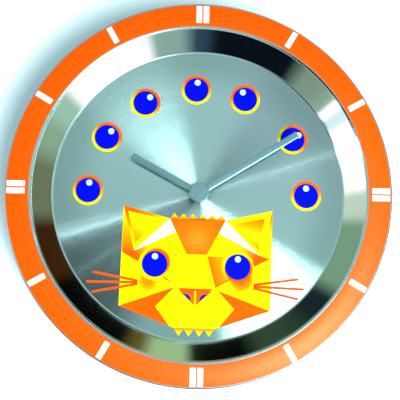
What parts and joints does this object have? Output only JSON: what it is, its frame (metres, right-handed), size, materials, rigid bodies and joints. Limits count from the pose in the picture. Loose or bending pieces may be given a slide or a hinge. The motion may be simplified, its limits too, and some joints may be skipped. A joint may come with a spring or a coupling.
{
  "type": "wall clock",
  "caption": "Round wall clock: spun steel dish with printed rim and cat's-face dial, baton hands, and a battery quartz movement with its gear train, knob and hanger.",
  "frame": {"origin": "where the hands' axis meets the wall plane, on the rear face of the movement", "axes": "+Z towards 12 o'clock, +X towards 3 o'clock, +Y into the wall, so the dial faces -Y"},
  "size_m": [0.3, 0.038, 0.3],
  "materials": {
    "dish_steel": "circular-brushed floor, polished cone wall",
    "orange_print": "glossy printed enamel",
    "white_print": "printed enamel",
    "cat_print": "glossy yellow and orange dial print",
    "eye_print": "glossy blue and yellow dial print",
    "hand_metal": "satin grey",
    "cap_metal": "satin grey, turned",
    "brass": "turned",
    "nickel_plate": "nickel plated",
    "rubber": "matte",
    "case_plastic": "moulded, fine texture",
    "knob_plastic": "moulded, knurled edge",
    "gear_plastic": "natural acetal",
    "plate_plastic": "moulded",
    "hanger_steel": "zinc plated",
    "spring_steel": "bright",
    "magnet": "sintered, matte",
    "lamination": "stamped",
    "bobbin_plastic": "moulded nylon",
    "copper_wire": "enamelled copper wire",
    "board": "green resist",
    "epoxy": "poured blob",
    "crystal_can": "plated can",
    "contact_strip": "nickel plated",
    "battery_can": "printed sleeve over a metal can"
  },
  "bodies": {
    "clock": {"cat_face": "cat_print", "circuit_board": "board", "coil_bobbin": "bobbin_plastic", "coil_core": "lamination", "coil_winding": "copper_wire", "dial_dish": "dish_steel", "dial_eyes": "eye_print", "dial_gasket": "rubber", "dial_nut": "nickel_plate", "dial_washer": "nickel_plate", "gear_plate": "plate_plastic", "hanger": "hanger_steel", "hour_marks": "white_print", "movement_case": "case_plastic", "negative_contact": "contact_strip", "positive_contact": "contact_strip", "quartz_crystal": "crystal_can", "rear_cover": "case_plastic", "rim_band": "orange_print", "stator_plate": "lamination", "threaded_tube": "brass", "timing_chip": "epoxy"},
    "minute": {"minute_shaft": "brass", "clutch_spring": "spring_steel", "minute_hand": "hand_metal", "hand_cap": "cap_metal"},
    "hour": {"hour_wheel": "gear_plastic", "hour_hand": "hand_metal"},
    "setting": {"motion_wheel": "gear_plastic", "setting_knob": "knob_plastic"},
    "rotor": {"rotor_pinion": "gear_plastic", "rotor_magnet": "magnet"},
    "intermediate": {"intermediate_wheel": "gear_plastic"},
    "seconds": {"seconds_wheel": "gear_plastic"},
    "third": {"third_wheel": "gear_plastic"},
    "centre": {"centre_wheel": "gear_plastic"},
    "cell": {"battery": "battery_can"}
  },
  "joints": [
    {"name": "minute_turn", "type": "hinge", "parent": "clock", "child": "minute", "pos_m": [0, 0, 0], "axis": [0, 1, 0], "continuous": true},
    {"name": "hour_turn", "type": "hinge", "parent": "clock", "child": "hour", "pos_m": [0, 0, 0], "axis": [0, 1, 0], "continuous": true},
    {"name": "setting_turn", "type": "hinge", "parent": "clock", "child": "setting", "pos_m": [0.01089, 0, -0.00153], "axis": [0, 1, 0], "continuous": true},
    {"name": "intermediate_turn", "type": "hinge", "parent": "clock", "child": "intermediate", "pos_m": [-0.01017, 0, 0.01493], "axis": [0, 1, 0], "continuous": true},
    {"name": "rotor_turn", "type": "hinge", "parent": "clock", "child": "rotor", "pos_m": [-0.018, 0, 0.0105], "axis": [0, 1, 0], "continuous": true},
    {"name": "seconds_turn", "type": "hinge", "parent": "clock", "child": "seconds", "pos_m": [-0.00177, 0, 0.01248], "axis": [0, 1, 0], "continuous": true},
    {"name": "third_turn", "type": "hinge", "parent": "clock", "child": "third", "pos_m": [0.00648, 0, 0.00772], "axis": [0, 1, 0], "continuous": true},
    {"name": "centre_turn", "type": "hinge", "parent": "clock", "child": "centre", "pos_m": [0, 0, 0], "axis": [0, 1, 0], "continuous": true},
    {"name": "battery_out", "type": "slide", "parent": "clock", "child": "cell", "axis": [0, 1, 0], "range_m": [0, 0.03]}
  ],
  "couplings": [
    {"joint": "hour_turn", "follows": "minute_turn", "ratio": 0.083333},
    {"joint": "setting_turn", "follows": "minute_turn", "ratio": -0.33333},
    {"joint": "rotor_turn", "follows": "intermediate_turn", "ratio": -5},
    {"joint": "seconds_turn", "follows": "intermediate_turn", "ratio": -0.16667},
    {"joint": "third_turn", "follows": "intermediate_turn", "ratio": 0.022222},
    {"joint": "centre_turn", "follows": "intermediate_turn", "ratio": -0.0027778}
  ]
}
